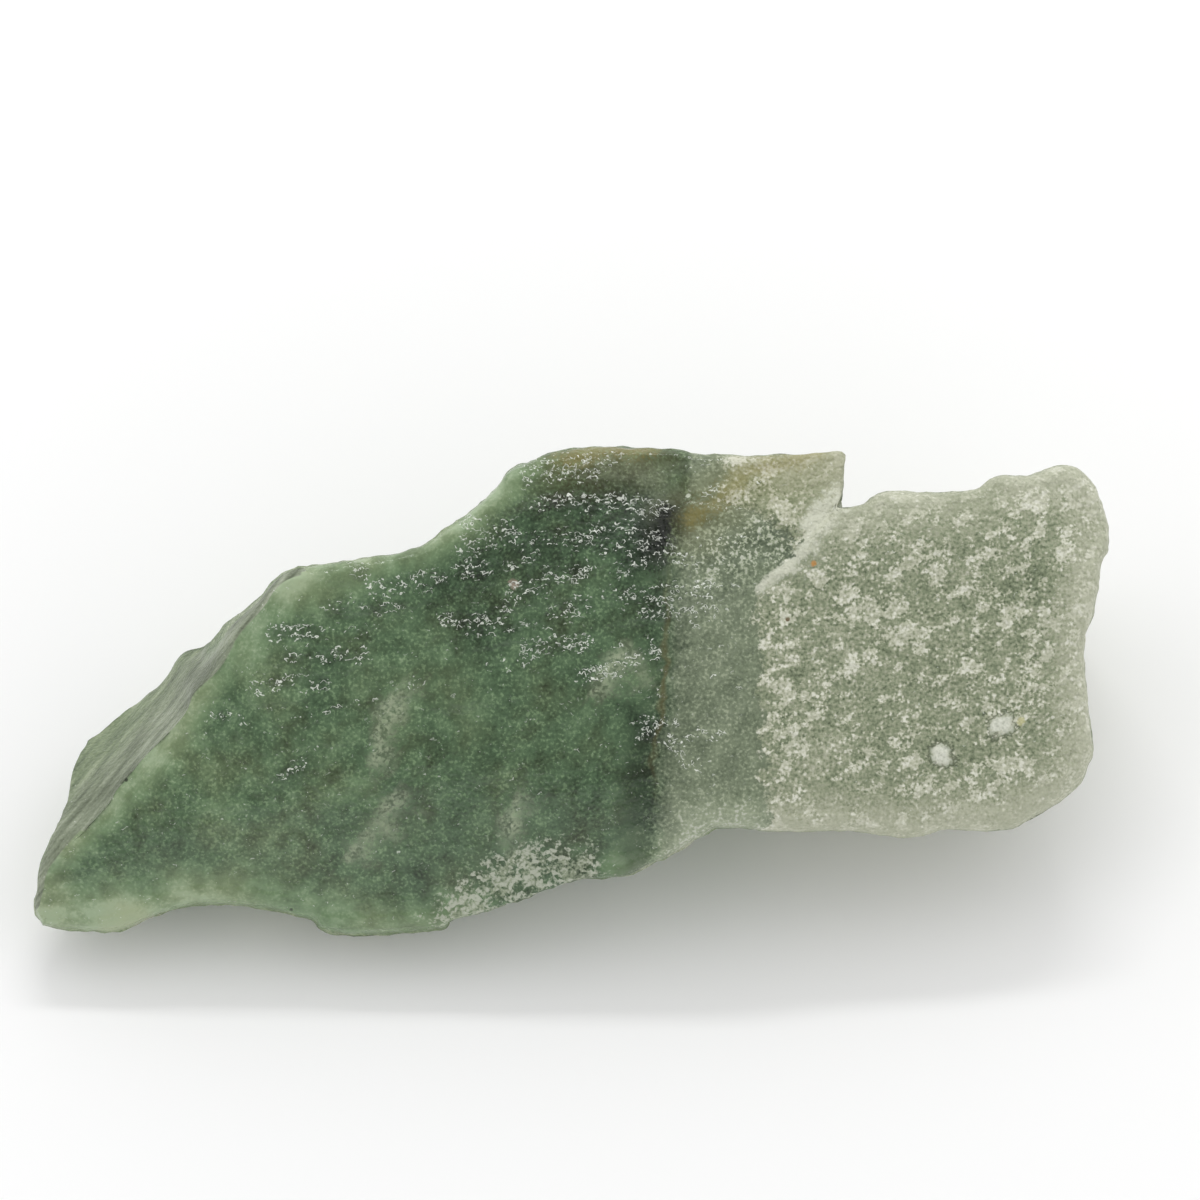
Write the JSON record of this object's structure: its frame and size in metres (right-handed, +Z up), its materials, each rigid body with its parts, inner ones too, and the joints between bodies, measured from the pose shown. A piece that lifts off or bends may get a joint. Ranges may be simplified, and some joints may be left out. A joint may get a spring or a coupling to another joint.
{
  "type": "rough aventurine stone",
  "caption": "Raw broken chunk of green aventurine quartzite, a long wedge with one broad broken face, a pointed thin end and a square pale end.",
  "frame": {"origin": "centre of the stone's plan outline, on the surface it lies on", "axes": "+X along the length, from the thin pointed end to the square pale end; +Y towards the tall back; +Z up, away from the flat underside"},
  "size_m": [0.1074, 0.044, 0.0334],
  "materials": {
    "aventurine": "satin"
  },
  "bodies": {
    "root": {"aventurine_chunk": "aventurine"}
  },
  "joints": []
}
